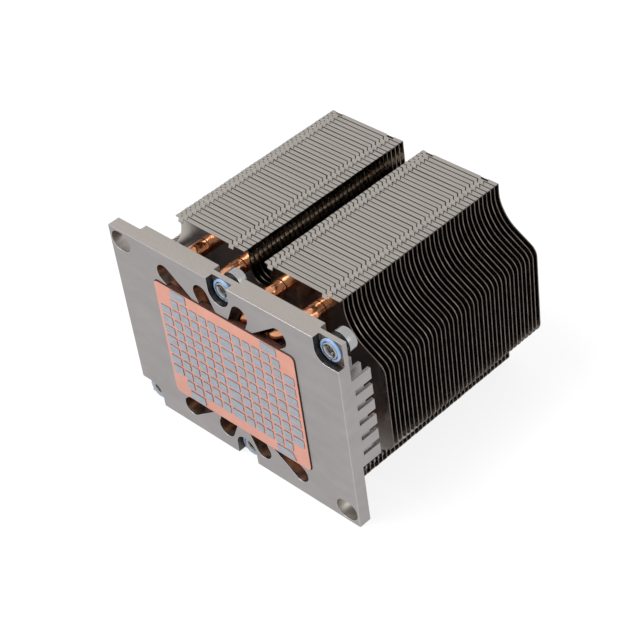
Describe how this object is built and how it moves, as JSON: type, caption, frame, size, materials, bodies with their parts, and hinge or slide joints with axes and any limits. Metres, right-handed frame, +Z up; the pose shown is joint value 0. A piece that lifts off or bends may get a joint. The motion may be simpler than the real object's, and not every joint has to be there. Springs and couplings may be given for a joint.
{
  "type": "passive server cpu heatsink",
  "caption": "Passive heatsink: copper contact plate with printed pads in an aluminium base plate, bent heat pipes, a stack of thin fins and spring-held captive nuts.",
  "frame": {"origin": "middle of the face that meets the processor", "axes": "+Y from that face into the fins, +X along the long side, +Z up as it lies on its long edge"},
  "size_m": [0.1088, 0.0979, 0.0784],
  "materials": {
    "plate_aluminium": "satin",
    "fin_aluminium": "satin",
    "plate_copper": "matte",
    "pipe_copper": "polished",
    "pad_compound": "matte",
    "nut_steel": "satin",
    "spring_steel": "black oxide",
    "ring_plastic": "matte"
  },
  "bodies": {
    "heatsink": {"base_plate": "plate_aluminium", "cold_plate": "plate_copper", "thermal_pads": "pad_compound", "heat_pipe_1": "pipe_copper", "heat_pipe_2": "pipe_copper", "heat_pipe_3": "pipe_copper", "heat_pipe_4": "pipe_copper", "fin_01": "fin_aluminium", "fin_02": "fin_aluminium", "fin_03": "fin_aluminium", "fin_04": "fin_aluminium", "fin_05": "fin_aluminium", "fin_06": "fin_aluminium", "fin_07": "fin_aluminium", "fin_08": "fin_aluminium", "fin_09": "fin_aluminium", "fin_10": "fin_aluminium", "fin_11": "fin_aluminium", "fin_12": "fin_aluminium", "fin_13": "fin_aluminium", "fin_14": "fin_aluminium", "fin_15": "fin_aluminium", "fin_16": "fin_aluminium", "fin_17": "fin_aluminium", "fin_18": "fin_aluminium", "fin_19": "fin_aluminium", "fin_20": "fin_aluminium", "fin_21": "fin_aluminium", "fin_22": "fin_aluminium", "fin_23": "fin_aluminium", "fin_24": "fin_aluminium", "fin_25": "fin_aluminium", "fin_26": "fin_aluminium", "fin_27": "fin_aluminium", "fin_28": "fin_aluminium", "fin_29": "fin_aluminium", "fin_30": "fin_aluminium", "fin_31": "fin_aluminium", "fin_32": "fin_aluminium", "fin_33": "fin_aluminium", "fin_34": "fin_aluminium", "fin_35": "fin_aluminium", "fin_36": "fin_aluminium", "fin_37": "fin_aluminium", "fin_38": "fin_aluminium", "top_middle_spring": "spring_steel", "top_corner_spring": "spring_steel", "bottom_middle_spring": "spring_steel", "bottom_corner_spring": "spring_steel"},
    "top_middle_carrier": {"top_middle_ring": "ring_plastic"},
    "top_middle_screw": {"top_middle_nut": "nut_steel"},
    "top_corner_carrier": {"top_corner_ring": "ring_plastic"},
    "top_corner_screw": {"top_corner_nut": "nut_steel"},
    "bottom_middle_carrier": {"bottom_middle_ring": "ring_plastic"},
    "bottom_middle_screw": {"bottom_middle_nut": "nut_steel"},
    "bottom_corner_carrier": {"bottom_corner_ring": "ring_plastic"},
    "bottom_corner_screw": {"bottom_corner_nut": "nut_steel"}
  },
  "joints": [
    {"name": "top_middle_press", "type": "slide", "parent": "heatsink", "child": "top_middle_carrier", "axis": [0, -1, 0], "range_m": [0, 0.001], "stiffness_N_per_m": 2000, "springref_m": -0.002, "deforming": ["top_middle_spring"]},
    {"name": "top_middle_turn", "type": "hinge", "parent": "top_middle_carrier", "child": "top_middle_screw", "pos_m": [0, 0.0075, 0.0348], "axis": [0, 1, 0], "continuous": true},
    {"name": "top_corner_press", "type": "slide", "parent": "heatsink", "child": "top_corner_carrier", "axis": [0, -1, 0], "range_m": [0, 0.001], "stiffness_N_per_m": 2000, "springref_m": -0.002, "deforming": ["top_corner_spring"]},
    {"name": "top_corner_turn", "type": "hinge", "parent": "top_corner_carrier", "child": "top_corner_screw", "pos_m": [0.049, 0.0075, 0.0348], "axis": [0, 1, 0], "continuous": true},
    {"name": "bottom_middle_press", "type": "slide", "parent": "heatsink", "child": "bottom_middle_carrier", "axis": [0, -1, 0], "range_m": [0, 0.001], "stiffness_N_per_m": 2000, "springref_m": -0.002, "deforming": ["bottom_middle_spring"]},
    {"name": "bottom_middle_turn", "type": "hinge", "parent": "bottom_middle_carrier", "child": "bottom_middle_screw", "pos_m": [0, 0.0075, -0.0348], "axis": [0, 1, 0], "continuous": true},
    {"name": "bottom_corner_press", "type": "slide", "parent": "heatsink", "child": "bottom_corner_carrier", "axis": [0, -1, 0], "range_m": [0, 0.001], "stiffness_N_per_m": 2000, "springref_m": -0.002, "deforming": ["bottom_corner_spring"]},
    {"name": "bottom_corner_turn", "type": "hinge", "parent": "bottom_corner_carrier", "child": "bottom_corner_screw", "pos_m": [-0.049, 0.0075, -0.0348], "axis": [0, 1, 0], "continuous": true}
  ]
}
